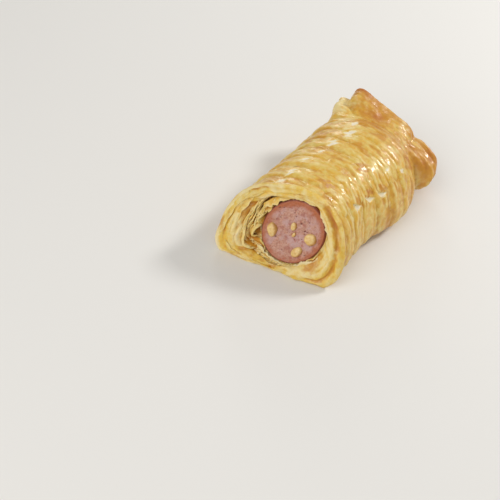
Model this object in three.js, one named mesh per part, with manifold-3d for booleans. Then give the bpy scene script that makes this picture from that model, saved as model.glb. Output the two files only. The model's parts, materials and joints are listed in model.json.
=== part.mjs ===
// Half of a plaited sausage and cheese pie, cut across on the slant so that the filling shows.
// Millimetres, +Z up. The roll lies along Y on its flat base, with the cut face towards -Y.
import * as THREE from "three";
import { ParametricGeometry } from "three/addons/geometries/ParametricGeometry.js";
import { mergeVertices } from "three/addons/utils/BufferGeometryUtils.js";
import Module from "manifold-3d";

const wasm = await Module();
wasm.setup();

// Driving dimensions of the roll
const ROLL_WIDTH = 50; // across the plait at the cut
const ROLL_HEIGHT = 33; // base to the top of the plait
const CUT_Y = -40; // where the sausage's axis meets the cut
const END_Y = 47.5; // outside of the folded far end
const SAUSAGE_DIAMETER = 25;
const SAUSAGE_X = 3; // the sausage lies a little to the right of the roll's middle
const SAUSAGE_Z = 16.5;
const SAUSAGE_END_Y = 33; // its rounded far end, inside the pastry
const SAUSAGE_END_FLAT = 1; // radius of the flat spot there
const CLEARANCE = 0.3; // between pieces that touch

// The slanted cut: how far it runs towards the far end for each millimetre to the right and up
const CUT_RUN_X = 0.18;
const CUT_RUN_Z = 0.4;

// Pastry strips laid over the sausage in turn from the right and from the left
const STRIP_PITCH = 8.6;
const STRIP_THICKNESS = 2.4;
const STRIP_LIFT = 0.9; // of a strip's middle above the core, over the top
const STRIP_SHINGLE = 1.7; // rise from a strip's tucked edge to the edge that faces the cut
const STRIP_LEAN = 5; // towards the far end, from a strip's root to its tip
const STRIP_FIRST_Y = -58;
const STRIP_LAST_Y = 36;
const STRIP_ROOT_ANGLE = 4; // degrees round the roll, from its right side up
const STRIP_TIP_ANGLE = 128;
const STRIP_ROOT_WIDTH = 1.05; // a strip's width in pitches at its root, and what its waist and tip lose
const STRIP_WAIST_LOSS = 0.25;
const STRIP_TIP_LOSS = 0.3;
const STRIP_TUCK = 1.9; // how steeply a tip dives under its neighbours
const STRIP_EDGE_LOSS = 0.45; // of the thickness, at a strip's rounded long edges
const STRIP_UNEVEN_Y = 0.5; // hand-laid strips vary by this much
const STRIP_UNEVEN_LIFT = 0.3;
const STRIP_UNEVEN_ANGLE = 7;

// The core that the strips lie on
const CORE_HALF_WIDTH = ROLL_WIDTH / 2 - 1.4;
const CORE_HEIGHT = ROLL_HEIGHT - 2.1;
const CORE_FRONT_Y = -60;
const CORE_BACK_Y = END_Y - 5.5;
const CORE_SQUARENESS_LEFT = 2.6; // exponents of the rounded section, above its widest place and below it
const CORE_SQUARENESS_RIGHT = 1.9;
const CORE_SQUARENESS_BASE = 2.6;
const CORE_MIDDLE = 0.23; // height of the widest place, as a share of the section's height
const CORE_BELLY = 1.22; // lower part, deep enough to be cut off flat by the base
const NECK_FROM_Y = 20;
const NECK_TO_Y = 39;
const NECK_NARROWING = 0.13;
const NECK_DROP = 0.15;

// The roll isn't quite straight: it bows to the right between the cut and the far end
const BOW = 2.6;
const BOW_FROM_Y = -42;
const BOW_LENGTH = 115;
const BULGE = 2.2; // its right side is pinched by this much behind the cut, and stands out further on

// The rolled lip round the cut
const LIP_RADIUS = 2.2;
const LIP_SET_BACK = 1.1; // of its centre behind the cut
const LIP_WAVE = 0.6; // how far the hand-rolled lip wanders in and out

// The open pocket of flaky layers beside the sausage, and the gap on its other side
const POCKET_FROM_SAUSAGE = 15.4;
const POCKET_DROP = 1.2;
const POCKET_HALF_SIZE = new THREE.Vector3(6.8, 8.5, 10.2);
const FLAKE_COUNT = 4;
const FLAKE_FIRST_RADIUS = 14.4;
const FLAKE_SPACING = 1.9;
const FLAKE_THICKNESS = 0.8;
const FLAKE_DEPTH = 9;
const FLAKE_SWEEP = 74; // degrees of arc at the inner flake, less for each further out
const FLAKE_SWEEP_LOSS = 9;
const FLAKE_SET_BACK = 1.6; // of its ragged front edge behind the cut
const FLAKE_RAGGED = 0.7;
const FLAKE_CURL = 0.5;
const GAP_SHIFT = new THREE.Vector2(1.2, -0.7);
const GAP_GROWTH = 0.4;
const GAP_DEPTH = 6;
const GAP_ROUNDING = 2;

// The folded far end: two layers that flare into ears past the neck, the right ear puffed into a knob
const FOLD_OUTER = { backY: END_Y, earAngle: 120, ear: 8.4, knob: 6.5 };
const FOLD_INNER = { backY: END_Y - 4.5, earAngle: 138, ear: 7.6, knob: 8 };
const FOLD_DEPTH = 20; // of one layer along the roll
const FOLD_FLARE = 0.6; // of a layer outside the core, between the ears
const FOLD_SUNK = 3; // of its front edge, inside the roll
const FOLD_ROUNDING = 4; // of its back edge
const EAR_SPREAD = 20; // degrees round the roll
const KNOB_ANGLE = 14;
const KNOB_SPREAD = 25;

// Cheese in the cut face: place across the face from the sausage's axis, and size
const CHEESE = [
  { right: -8.0, up: -1.7, width: 4.3, height: 5.8 },
  { right: -0.5, up: 2.2, width: 2.3, height: 3.3 },
  { right: 7.3, up: -0.4, width: 5.2, height: 4.4 },
  { right: 4.1, up: -6.7, width: 3.6, height: 4.7 },
  { right: 0.7, up: -0.8, width: 1.5, height: 1.8 },
];
const CHEESE_PROUD = 0.5;
const SAUSAGE_SET_BACK = 0.5; // of the sausage's face behind the cut

// Steps that round shapes are made in
const CORE_SLICES = 44;
const CORE_ROWS = 22;
const STRIP_LENGTH_STEPS = 12;
const STRIP_WIDTH_STEPS = 3;
const FOLD_SLICES = 40;
const FOLD_ROWS = 13;
const LIP_STEPS = 48;
const LIP_SIDES = 8;
const BAR_SLICES = 40;
const BEYOND = 200; // size of a cutting block, larger than the roll

const { clamp, degToRad, lerp, smoothstep } = THREE.MathUtils;

// A seeded stream of numbers from -1 to 1, so that the uneven strips are the same each time
function makeUneven(seed) {
  let state = seed;
  return () => {
    state = (state * 1664525 + 1013904223) % 4294967296;
    return (state / 4294967296) * 2 - 1;
  };
}

// Solid from a closed geometry, with its shared corners merged
function solidOf(geometry) {
  geometry.deleteAttribute("normal");
  geometry.deleteAttribute("uv");
  const merged = mergeVertices(geometry, 1e-3);
  const corners = merged.index.array;
  const kept = [];
  for (let i = 0; i < corners.length; i += 3) {
    const [a, b, c] = [corners[i], corners[i + 1], corners[i + 2]];
    if (a !== b && b !== c && a !== c) kept.push(a, b, c);
  }
  return new wasm.Manifold(
    new wasm.Mesh({
      numProp: 3,
      vertProperties: merged.attributes.position.array,
      triVerts: new Uint32Array(kept),
    }),
  );
}

// The outer skin of a fused solid, so that hollows sealed between pieces are filled and scraps dropped
function outerBody(solid) {
  return solid.decompose().reduce((largest, body) => (body.volume() > largest.volume() ? body : largest));
}

// Named mesh from a solid
function meshOf(name, solid, material) {
  const made = solid.getMesh();
  const positions = new Float32Array(made.numVert * 3);
  for (let i = 0; i < made.numVert; i++) {
    positions.set(made.vertProperties.subarray(i * made.numProp, i * made.numProp + 3), i * 3);
  }
  const geometry = new THREE.BufferGeometry();
  geometry.setAttribute("position", new THREE.BufferAttribute(positions, 3));
  geometry.setIndex(new THREE.BufferAttribute(made.triVerts, 1));
  geometry.computeVertexNormals();
  const mesh = new THREE.Mesh(geometry, material);
  mesh.name = name;
  return mesh;
}

// Moves each corner of a geometry by a function of its place
function bent(geometry, place) {
  const position = geometry.attributes.position;
  const corner = new THREE.Vector3();
  for (let i = 0; i < position.count; i++) {
    corner.fromBufferAttribute(position, i);
    position.setXYZ(i, ...place(corner).toArray());
  }
  return geometry;
}

// The slanted cut
function cutY(x, z) {
  return CUT_Y + CUT_RUN_X * (x - SAUSAGE_X) + CUT_RUN_Z * (z - SAUSAGE_Z);
}
const cutNormal = new THREE.Vector3(CUT_RUN_X, -1, CUT_RUN_Z).normalize();
const cutTurn = new THREE.Quaternion().setFromUnitVectors(new THREE.Vector3(0, -1, 0), cutNormal);

// Block that fills everything in front of the cut, moved back by setBack
function cuttingBlock(setBack) {
  const block = new THREE.BoxGeometry(BEYOND, BEYOND, BEYOND);
  block.applyQuaternion(cutTurn);
  const middle = cutNormal.clone().multiplyScalar(BEYOND / 2 - setBack);
  block.translate(SAUSAGE_X + middle.x, CUT_Y + middle.y, SAUSAGE_Z + middle.z);
  return solidOf(block);
}

// How far the roll's middle lies to the right at y
function bowX(y) {
  return BOW * Math.sin((Math.PI * Math.max(0, y - BOW_FROM_Y)) / BOW_LENGTH);
}

// How far its right side stands out further
function bulgeX(y) {
  return -BULGE * Math.sin(2 * Math.PI * smoothstep(y, CUT_Y, NECK_TO_Y));
}

// Point on the roll's section at y, angle in radians from the right side up, offset out from the core
function onSection(y, angle, offset) {
  const neck = smoothstep(y, NECK_FROM_Y, NECK_TO_Y);
  const sideways = Math.cos(angle) > 0 ? bulgeX(y) : 0;
  const halfWidth = CORE_HALF_WIDTH * (1 - NECK_NARROWING * neck) + sideways + offset;
  const height = CORE_HEIGHT * (1 - NECK_DROP * neck);
  const middle = CORE_MIDDLE * height;
  const across = Math.cos(angle);
  const upward = Math.sin(angle);
  const reach = upward > 0 ? height - middle + offset : middle * CORE_BELLY + offset;
  const shoulder = lerp(CORE_SQUARENESS_LEFT, CORE_SQUARENESS_RIGHT, (1 + across) / 2);
  const power = 2 / (upward > 0 ? shoulder : CORE_SQUARENESS_BASE);
  const x = bowX(y) + halfWidth * Math.sign(across) * Math.abs(across) ** power;
  const z = middle + reach * Math.sign(upward) * Math.abs(upward) ** power;
  return new THREE.Vector3(x, y, Math.max(0, z));
}

// The core: rings of sections, closed at each end on the middle of the last ring
function coreSolid() {
  const lastRing = CORE_ROWS - 1;
  const core = new ParametricGeometry(
    (u, v, target) => {
      const row = Math.round(v * CORE_ROWS);
      const ring = clamp(row, 1, lastRing) - 1;
      const y = lerp(CORE_FRONT_Y, CORE_BACK_Y, ring / (lastRing - 1));
      if (row === 0 || row === CORE_ROWS) target.set(bowX(y), y, CORE_HEIGHT * CORE_MIDDLE);
      else target.copy(onSection(y, -u * 2 * Math.PI, 0));
    },
    CORE_SLICES,
    CORE_ROWS,
  );
  return solidOf(core);
}

// One strip: a slab bent round the core from its root on one side, over the top and under its neighbours
function stripSolid(rootY, side, uneven) {
  const shiftY = STRIP_UNEVEN_Y * uneven();
  const shiftLift = STRIP_UNEVEN_LIFT * uneven();
  const tipAngle = STRIP_TIP_ANGLE + STRIP_UNEVEN_ANGLE * uneven();
  const slab = new THREE.BoxGeometry(1, 1, 1, STRIP_LENGTH_STEPS, STRIP_WIDTH_STEPS, 1);
  return solidOf(
    bent(slab, ({ x, y: across, z: layer }) => {
      const along = 0.5 - side * x;
      const degrees = lerp(STRIP_ROOT_ANGLE, tipAngle, along);
      const angle = degToRad(side > 0 ? degrees : 180 - degrees);
      const waist = smoothstep(along, 0, 0.3) * (1 - smoothstep(along, 0.4, 0.6));
      const tip = smoothstep(along, 0.74, 1);
      const width = STRIP_PITCH * (STRIP_ROOT_WIDTH - STRIP_WAIST_LOSS * waist - STRIP_TIP_LOSS * tip);
      const rise = smoothstep(along, 0, 0.3) - STRIP_TUCK * tip;
      const rounding = 1 - STRIP_EDGE_LOSS * (2 * across) ** 4;
      const thickness = STRIP_THICKNESS * layer * rounding;
      const offset = STRIP_LIFT * (1.5 * rise - 0.5) + shiftLift - STRIP_SHINGLE * across * rise + thickness;
      return onSection(rootY + shiftY + STRIP_LEAN * along + width * across, angle, offset);
    }),
  );
}

// All strips, right and left in turn, as one solid with the core
function plaitSolid() {
  const uneven = makeUneven(7);
  let plait = coreSolid();
  for (let y = STRIP_FIRST_Y; y <= STRIP_LAST_Y; y += STRIP_PITCH) {
    plait = plait.add(stripSolid(y, 1, uneven));
    plait = plait.add(stripSolid(y + STRIP_PITCH / 2, -1, uneven));
  }
  return plait;
}

// The lip: a roll of dough, closed on itself, that follows the section just inside its outline, on the cut
function lipSolid() {
  const points = [];
  for (let i = 0; i < LIP_STEPS; i++) {
    const angle = (i / LIP_STEPS) * 2 * Math.PI;
    const wave = LIP_WAVE * Math.sin(3 * angle + 1) * Math.cos(2 * angle);
    const place = onSection(CUT_Y, angle, STRIP_LIFT + STRIP_THICKNESS / 2 - LIP_RADIUS + wave);
    place.z = Math.max(place.z, LIP_RADIUS + 0.1);
    place.y = cutY(place.x, place.z) + LIP_SET_BACK + LIP_WAVE * Math.sin(5 * angle);
    points.push(place);
  }
  const path = new THREE.CatmullRomCurve3(points, true);
  return solidOf(new THREE.TubeGeometry(path, LIP_STEPS, LIP_RADIUS, LIP_SIDES, true));
}

// One layer of the far end: rings that swell out of the roll into the ears and close over the back
function foldSolid({ backY, earAngle, ear, knob }) {
  const bump = (degrees, centre, spread) => Math.exp(-(((degrees - centre) / spread) ** 2));
  const lastRing = FOLD_ROWS - 1;
  const layer = new ParametricGeometry(
    (u, v, target) => {
      const row = Math.round(v * FOLD_ROWS);
      const along = (clamp(row, 1, lastRing) - 1) / (lastRing - 1);
      const y = backY - FOLD_DEPTH * (1 - along);
      const degrees = 270 - 360 * u;
      const earFlare = ear * bump(degrees, earAngle, EAR_SPREAD) * smoothstep(along, 0, 0.75);
      const knobFlare = knob * bump(degrees, KNOB_ANGLE, KNOB_SPREAD) * smoothstep(along, 0.45, 0.75);
      const closing = Math.max(0, 1 - (FOLD_DEPTH * (1 - along)) / FOLD_ROUNDING);
      const rounding = FOLD_ROUNDING * (1 - Math.sqrt(1 - closing ** 2));
      const sunk = FOLD_SUNK * (1 - smoothstep(along, 0, 0.3));
      if (row === 0 || row === FOLD_ROWS) target.set(bowX(y), y, CORE_HEIGHT * CORE_MIDDLE);
      else target.copy(onSection(y, degToRad(degrees), FOLD_FLARE + earFlare + knobFlare - rounding - sunk));
    },
    FOLD_SLICES,
    FOLD_ROWS,
  );
  return solidOf(layer);
}

// Ball stretched to half sizes along X, Y and Z
function ellipsoid(halfSize, slices, rows) {
  return new THREE.SphereGeometry(1, slices, rows).scale(halfSize.x, halfSize.y, halfSize.z);
}

// The hollow of the flaky pocket, level with the cut
function pocketSolid() {
  const x = SAUSAGE_X - POCKET_FROM_SAUSAGE;
  const z = SAUSAGE_Z - POCKET_DROP;
  return solidOf(ellipsoid(POCKET_HALF_SIZE, 20, 14).translate(x, cutY(x, z), z));
}

// One flake: a thin curved wall round the sausage, its front edge ragged and set back from the cut
function flakeSolid(index, uneven) {
  const radius = FLAKE_FIRST_RADIUS + index * FLAKE_SPACING;
  const sweep = degToRad(FLAKE_SWEEP - FLAKE_SWEEP_LOSS * index);
  const middle = Math.PI + degToRad(6 + 9 * uneven());
  const slab = new THREE.BoxGeometry(1, 1, 1, 10, 2, 1);
  return solidOf(
    bent(slab, ({ x, y, z }) => {
      const angle = middle - sweep * x;
      const curl = FLAKE_CURL * Math.sin(5 * angle + 2 * index) * (0.5 - y);
      const out = radius + FLAKE_THICKNESS * z + curl;
      const placeX = SAUSAGE_X + out * Math.cos(angle);
      const placeZ = SAUSAGE_Z + out * Math.sin(angle);
      const ragged = FLAKE_SET_BACK + FLAKE_RAGGED * Math.sin(7 * angle + 3 * index);
      const depth = ragged + (y + 0.5) * FLAKE_DEPTH;
      return new THREE.Vector3(placeX, cutY(placeX, placeZ) + depth, placeZ);
    }),
  );
}

// Round bar along Y from in front of the roll to backY, with its far end rounded off
function bar(radius, backY, rounding) {
  const profile = [new THREE.Vector2(0, CORE_FRONT_Y), new THREE.Vector2(radius, CORE_FRONT_Y)];
  const steps = 4;
  for (let i = 0; i <= steps; i++) {
    const turn = (i / steps) * (Math.PI / 2);
    const r = i === steps ? 0 : radius - rounding + rounding * Math.cos(turn);
    profile.push(new THREE.Vector2(r, backY - rounding + rounding * Math.sin(turn)));
  }
  return new THREE.LatheGeometry(profile, BAR_SLICES).translate(SAUSAGE_X, 0, SAUSAGE_Z);
}

// The whole sausage, grown on all sides for its bore
function sausageBar(grown) {
  const radius = SAUSAGE_DIAMETER / 2;
  return solidOf(bar(radius + grown, SAUSAGE_END_Y + grown, radius - SAUSAGE_END_FLAT));
}

// The crescent gap beside the sausage, open at the cut
function gapSolid() {
  const gap = bar(SAUSAGE_DIAMETER / 2 + GAP_GROWTH, CUT_Y + GAP_DEPTH, GAP_ROUNDING);
  return solidOf(gap.translate(GAP_SHIFT.x, 0, GAP_SHIFT.y));
}

function pastrySolid() {
  const uneven = makeUneven(23);
  let pastry = plaitSolid().subtract(cuttingBlock(0));
  pastry = pastry.add(lipSolid()).add(foldSolid(FOLD_OUTER)).add(foldSolid(FOLD_INNER));
  pastry = pastry.subtract(pocketSolid());
  for (let i = 0; i < FLAKE_COUNT; i++) pastry = pastry.add(flakeSolid(i, uneven));
  return outerBody(outerBody(pastry).subtract(sausageBar(CLEARANCE)).subtract(gapSolid()));
}

// One lump of cheese in the cut face, grown on all sides for its socket
function cheeseSolid({ right, up, width, height }, grown) {
  const depth = (width + height) / 2;
  const halfSize = new THREE.Vector3(width / 2 + grown, depth / 2 + grown, height / 2 + grown);
  const lump = ellipsoid(halfSize, 12, 8);
  lump.applyQuaternion(cutTurn);
  const x = SAUSAGE_X + right;
  const z = SAUSAGE_Z + up;
  const inward = cutNormal.clone().multiplyScalar(CHEESE_PROUD - depth / 2 - SAUSAGE_SET_BACK);
  lump.translate(x + inward.x, cutY(x, z) + inward.y, z + inward.z);
  return solidOf(lump);
}

function sausageSolid() {
  let sausage = sausageBar(0).subtract(cuttingBlock(SAUSAGE_SET_BACK));
  for (const lump of CHEESE) sausage = sausage.subtract(cheeseSolid(lump, CLEARANCE));
  return sausage;
}

const crust = new THREE.MeshStandardMaterial({ color: 0xdab96d, roughness: 0.42, metalness: 0 });
const meat = new THREE.MeshStandardMaterial({ color: 0xbd907f, roughness: 0.5, metalness: 0 });
const cheese = new THREE.MeshStandardMaterial({ color: 0xe6c878, roughness: 0.45, metalness: 0 });

const pie = new THREE.Group();
pie.add(meshOf("pastry", pastrySolid(), crust));
pie.add(meshOf("sausage", sausageSolid(), meat));
CHEESE.forEach((lump, i) => pie.add(meshOf(`cheese_${i + 1}`, cheeseSolid(lump, 0), cheese)));

// The part's origin is the middle of its footprint, on the base
const box = new THREE.Box3().setFromObject(pie);
const middle = box.getCenter(new THREE.Vector3());
pie.position.set(-middle.x, -middle.y, -box.min.z);

export default pie;
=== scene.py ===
# %% [markdown]
# # A plaited sausage and cheese pie, cut across
# The object is half of a puff-pastry roll. Strips of dough are folded over a sausage from both
# sides, washed with egg and baked golden, and the roll is then cut on the slant.
# The part's solids are loaded first as a fixed frame, in metres. Every piece that is made here
# lies where its solid lies, so the solids' box is kept to compare with at the end.

# %% Load the frame
import json
import math

import bpy
import numpy as np
from mathutils import Matrix, Vector

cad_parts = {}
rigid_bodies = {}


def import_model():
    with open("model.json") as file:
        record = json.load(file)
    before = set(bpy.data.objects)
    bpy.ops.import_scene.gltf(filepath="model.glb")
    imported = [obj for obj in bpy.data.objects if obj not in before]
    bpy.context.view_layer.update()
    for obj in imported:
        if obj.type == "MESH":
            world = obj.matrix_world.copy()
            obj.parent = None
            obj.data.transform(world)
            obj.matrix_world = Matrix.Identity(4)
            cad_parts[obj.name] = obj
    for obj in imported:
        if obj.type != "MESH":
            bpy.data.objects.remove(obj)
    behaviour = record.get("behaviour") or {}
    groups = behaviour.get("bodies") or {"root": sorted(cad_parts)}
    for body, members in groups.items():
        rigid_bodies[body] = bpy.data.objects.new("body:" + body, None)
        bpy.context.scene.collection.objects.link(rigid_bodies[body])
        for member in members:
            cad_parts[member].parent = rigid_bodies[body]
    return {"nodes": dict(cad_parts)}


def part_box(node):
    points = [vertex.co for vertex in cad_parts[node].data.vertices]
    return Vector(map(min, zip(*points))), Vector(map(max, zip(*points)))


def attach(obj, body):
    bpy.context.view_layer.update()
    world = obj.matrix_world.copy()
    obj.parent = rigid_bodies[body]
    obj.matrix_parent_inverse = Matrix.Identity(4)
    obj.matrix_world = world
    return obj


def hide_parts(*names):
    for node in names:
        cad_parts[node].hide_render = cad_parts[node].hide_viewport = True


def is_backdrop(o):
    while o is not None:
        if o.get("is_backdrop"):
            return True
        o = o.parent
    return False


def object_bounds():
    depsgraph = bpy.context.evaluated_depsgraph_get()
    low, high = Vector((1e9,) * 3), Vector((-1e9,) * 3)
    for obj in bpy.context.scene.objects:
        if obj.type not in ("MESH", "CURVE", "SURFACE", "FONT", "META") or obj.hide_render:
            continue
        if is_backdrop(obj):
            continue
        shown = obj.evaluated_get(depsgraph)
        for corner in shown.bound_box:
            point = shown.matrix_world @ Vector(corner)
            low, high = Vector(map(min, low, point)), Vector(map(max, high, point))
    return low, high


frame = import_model()
cad_low, cad_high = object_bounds()
bpy.ops.object.select_all(action="DESELECT")
print("nodes:", sorted(frame["nodes"]))
print("solids' box in mm:", [round(1000 * size, 1) for size in cad_high - cad_low])

# %% [markdown]
# ## The roll's own coordinates
# The baker's roll is easiest to describe in millimetres along and round its own middle, so the
# sizes below are in millimetres and one function carries finished points to the frame.
# The sausage's box in the frame says where the roll's origin is. The roll was cut on a slant:
# the cut runs back to the right and upwards, and both slopes are named once.

# %% Sizes and the roll's origin
MM = 0.001
SAUSAGE_X = 3
SAUSAGE_Z = 16.5
SAUSAGE_END_Y = 33
CUT_Y = -40
CUT_RUN_X = 0.18
CUT_RUN_Z = 0.4
SAUSAGE_SET_BACK = 0.5
END_Y = 47.5

sausage_low, sausage_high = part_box("sausage")
SAUSAGE_RADIUS = (sausage_high.x - sausage_low.x) / 2 / MM
roll_origin = np.array([
    (sausage_low.x + sausage_high.x) / 2 - SAUSAGE_X * MM,
    sausage_high.y - SAUSAGE_END_Y * MM,
    0,
])


def to_frame(points):
    """Carries points in the roll's millimetres to metres in the frame."""
    return roll_origin + MM * np.asarray(points)


def cut_y(x, z):
    """How far along the roll the slanting cut is at a place on its section."""
    return CUT_Y + CUT_RUN_X * (x - SAUSAGE_X) + CUT_RUN_Z * (z - SAUSAGE_Z)


print("sausage radius in mm:", round(SAUSAGE_RADIUS, 2), "roll origin:", roll_origin.round(5))

# %% [markdown]
# ## Soft steps, bells and ripples
# Baked dough has no straight line and no sharp border, so the forms below fade in and out. Small
# functions do this: a soft step, a bell round a middle, the share of a stretch, and ripples, which
# are sums of a few waves. The waves are drawn from a seed, so every run gives the same pie.

# %% Helpers for soft forms
RIPPLE_STRENGTHS = (1, 0.7, 0.45, 0.3)
RIPPLE_TOTAL = 1.7


def smoothstep(value, low, high):
    """Goes smoothly from 0 at low to 1 at high."""
    share = np.clip((value - low) / (high - low), 0, 1)
    return share * share * (3 - 2 * share)


def bell(value, middle, spread):
    """1 at the middle, and near 0 from two spreads away."""
    return np.exp(-((value - middle) / spread) ** 2)


def stretch(value, start, length):
    """How far a value has come along a stretch: 0 before it and 1 after it."""
    return np.clip((value - start) / length, 0, 1)


def ripple(seed, *places):
    """Smooth uneven numbers from about -1 to 1, the same in every run for the same seed."""
    draws = np.random.default_rng(seed)
    total = 0
    for strength in RIPPLE_STRENGTHS:
        wave = draws.uniform(0, 2 * np.pi)
        for place in places:
            wave = wave + place * draws.uniform(0.7, 1.3) * draws.choice([-1, 1]) / strength
        total = total + strength * np.sin(wave)
    return total / RIPPLE_TOTAL


def circling(direction):
    """A direction as two numbers that close on themselves, for ripples round the roll."""
    return 3 * np.cos(direction), 3 * np.sin(direction)


print("a ripple at three places:", ripple(1, np.arange(3)).round(2))

# %% [markdown]
# ## The roll's section
# The dough sags into a loaf shape: flat below, rounder on top, a little squarer on the left.
# It bows to the right in the middle, narrows to a neck before the folded end, and its right side
# is pinched and then bulges. A superellipse with a power for each side gives all of this from a
# few numbers, and every strip, fold and layer is laid at some height over this one surface.

# %% The section as a function
HALF_WIDTH = 23.6
HEIGHT = 30.9
MIDDLE_SHARE = 0.23
BELLY = 1.22
SQUARE_LEFT = 2.6
SQUARE_RIGHT = 1.9
SQUARE_BASE = 2.6
NECK_FROM_Y = 20
NECK_TO_Y = 39
NECK_NARROWING = 0.13
NECK_DROP = 0.15
BOW = 2.6
BOW_FROM_Y = -42
BOW_LENGTH = 115
BULGE = 2.2


def on_roll(y, angle, height):
    """The point at an angle round the roll, some millimetres above its dough."""
    neck = smoothstep(y, NECK_FROM_Y, NECK_TO_Y)
    across = np.cos(angle)
    upward = np.sin(angle)
    bulge = -BULGE * np.sin(2 * np.pi * smoothstep(y, CUT_Y, NECK_TO_Y))
    half_width = HALF_WIDTH * (1 - NECK_NARROWING * neck) + np.where(across > 0, bulge, 0) + height
    full_height = HEIGHT * (1 - NECK_DROP * neck)
    middle = MIDDLE_SHARE * full_height
    reach = np.where(upward > 0, full_height - middle, BELLY * middle) + height
    shoulder = SQUARE_LEFT + (SQUARE_RIGHT - SQUARE_LEFT) * (1 + across) / 2
    power = 2 / np.where(upward > 0, shoulder, SQUARE_BASE)
    bow = BOW * np.sin(np.pi * np.maximum(0, y - BOW_FROM_Y) / BOW_LENGTH)
    x = bow + half_width * np.sign(across) * np.abs(across) ** power
    z = middle + reach * np.sign(upward) * np.abs(upward) ** power
    return x, y + 0 * x, np.maximum(z, 0)


print("section at the cut in mm:", 2 * HALF_WIDTH, "by", HEIGHT)

# %% [markdown]
# ## Laying a sheet of dough
# A baker starts from flat sheets, and so does this lesson: every pastry piece begins as a flat
# grid primitive whose points are then moved to their places on the roll. Blender's bend tool
# needs a window and follows one circle only, so the laying is a function of the sheet's own two
# directions. Beside the places it keeps two attributes for the finish. Bake holds how toasted, how
# pale and how doughy a point is, and the last is below 0 where the skin turned rosy. The first
# number also holds painted shade in creases and hollows, and the second painted highlights on some
# edges and ridges. Grain holds millimetres along and across the sheet.

# %% Helpers that lay sheets
def new_sheet(name, steps):
    """Adds a flat unit grid, the dough before it is laid."""
    bpy.ops.object.select_all(action="DESELECT")
    bpy.ops.mesh.primitive_grid_add(x_subdivisions=steps[0], y_subdivisions=steps[1], size=1)
    sheet = bpy.context.object
    sheet.name = name
    return sheet


def points_of(piece):
    """The points of a piece's mesh, one row for each."""
    flat = np.empty(3 * len(piece.data.vertices))
    piece.data.vertices.foreach_get("co", flat)
    return flat.reshape(-1, 3)


def set_points(piece, places, bake, grain=(0, 0, 0)):
    """Moves a piece's points to places on the roll and keeps their bake and grain."""
    mesh = piece.data
    ones = np.ones(len(mesh.vertices))
    mesh.vertices.foreach_set("co", to_frame(np.stack(places, axis=1)).ravel())
    colours = np.stack([ones * value for value in (*bake, 1)], axis=1)
    mesh.attributes.new("bake", "FLOAT_COLOR", "POINT").data.foreach_set("color", colours.ravel())
    vectors = np.stack([ones * value for value in grain], axis=1)
    mesh.attributes.new("grain", "FLOAT_VECTOR", "POINT").data.foreach_set("vector", vectors.ravel())
    mesh.update()


def laid_sheet(name, steps, shape):
    """A sheet laid to shape(u, v), which gives places, bake and grain for u and v from 0 to 1."""
    sheet = new_sheet(name, steps)
    u, v, _ = points_of(sheet).T + 0.5
    set_points(sheet, *shape(u, v))
    return sheet


print("sheets can be laid")

# %% [markdown]
# ## Closing and crinkling
# A laid sheet still has points that lie on each other where it closes on itself, so they are merged
# and the faces are turned outwards. Thin leaves get their thickness from Solidify. The oven leaves
# no surface even, and Displace with a cloud texture pushes one in and out without more faces.

# %% Helpers that finish sheets
MERGE_WITHIN = 0.002
CRINKLE_DETAIL = 3


def close_up(piece):
    """Merges the points that meet at seams and poles, then turns all faces outwards."""
    bpy.context.view_layer.objects.active = piece
    bpy.ops.object.mode_set(mode="EDIT")
    bpy.ops.mesh.select_all(action="SELECT")
    bpy.ops.mesh.remove_doubles(threshold=MERGE_WITHIN * MM)
    bpy.ops.mesh.normals_make_consistent(inside=False)
    bpy.ops.object.mode_set(mode="OBJECT")


def with_modifier(piece, kind, **settings):
    """Adds a modifier with its settings and applies it."""
    modifier = piece.modifiers.new(kind.title(), kind)
    for setting, value in settings.items():
        setattr(modifier, setting, value)
    bpy.context.view_layer.objects.active = piece
    bpy.ops.object.modifier_apply(modifier=modifier.name)


def thin_leaf(steps, shape, thickness, offset=0):
    """A laid sheet with a thickness, all on its outer side where the offset is 1."""
    leaf = laid_sheet("leaf", steps, shape)
    with_modifier(leaf, "SOLIDIFY", thickness=thickness * MM, offset=offset)
    return leaf


def joined(name, pieces):
    """Joins pieces into one object."""
    bpy.ops.object.select_all(action="DESELECT")
    for piece in pieces:
        piece.select_set(True)
    bpy.context.view_layer.objects.active = pieces[0]
    bpy.ops.object.join()
    pieces[0].name = name
    return pieces[0]


def crinkle(piece, layers):
    """Pushes a surface in and out by clouds of a size and a strength, but not through the floor."""
    for size, strength in layers:
        clouds = bpy.data.textures.new("crinkle", "CLOUDS")
        clouds.noise_scale = size * MM
        clouds.noise_depth = CRINKLE_DETAIL
        with_modifier(piece, "DISPLACE", texture=clouds, texture_coords="LOCAL", strength=strength * MM)
        for vertex in piece.data.vertices:
            vertex.co.z = max(vertex.co.z, 0)


print("sheets can be closed, thickened, joined and crinkled")

# %% [markdown]
# ## The wall at the cut
# At the cut the pastry is a wall between the sausage and the outside. Places in it are easiest to
# give as a direction from the sausage's middle and a depth, 0 outside and 1 at the sausage. The
# outline's distance is worked out once for many directions and looked up from there. On the left
# the layers tore apart in baking, so two functions say where that hollow is and how deep.

# %% Places in the wall
STRIP_HEIGHT = 2.1
OUTLINE_STEPS = 1440
HOLLOW_FROM = (114, 142)
HOLLOW_TO = (256, 300)
POCKET_MIDDLE = 172
POCKET_SPREAD = 34

outline_angles = np.linspace(0, 2 * np.pi, OUTLINE_STEPS, endpoint=False)
outline_x, _, outline_z = on_roll(CUT_Y, outline_angles, STRIP_HEIGHT)
outline_x, _, outline_z = on_roll(cut_y(outline_x, outline_z), outline_angles, STRIP_HEIGHT)
outline_direction = np.arctan2(outline_z - SAUSAGE_Z, outline_x - SAUSAGE_X)
outline_wall = np.hypot(outline_z - SAUSAGE_Z, outline_x - SAUSAGE_X) - SAUSAGE_RADIUS


def wall_at(direction):
    """The wall's thickness in a direction from the sausage's middle."""
    return np.interp(direction, outline_direction, outline_wall, period=2 * np.pi)


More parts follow.
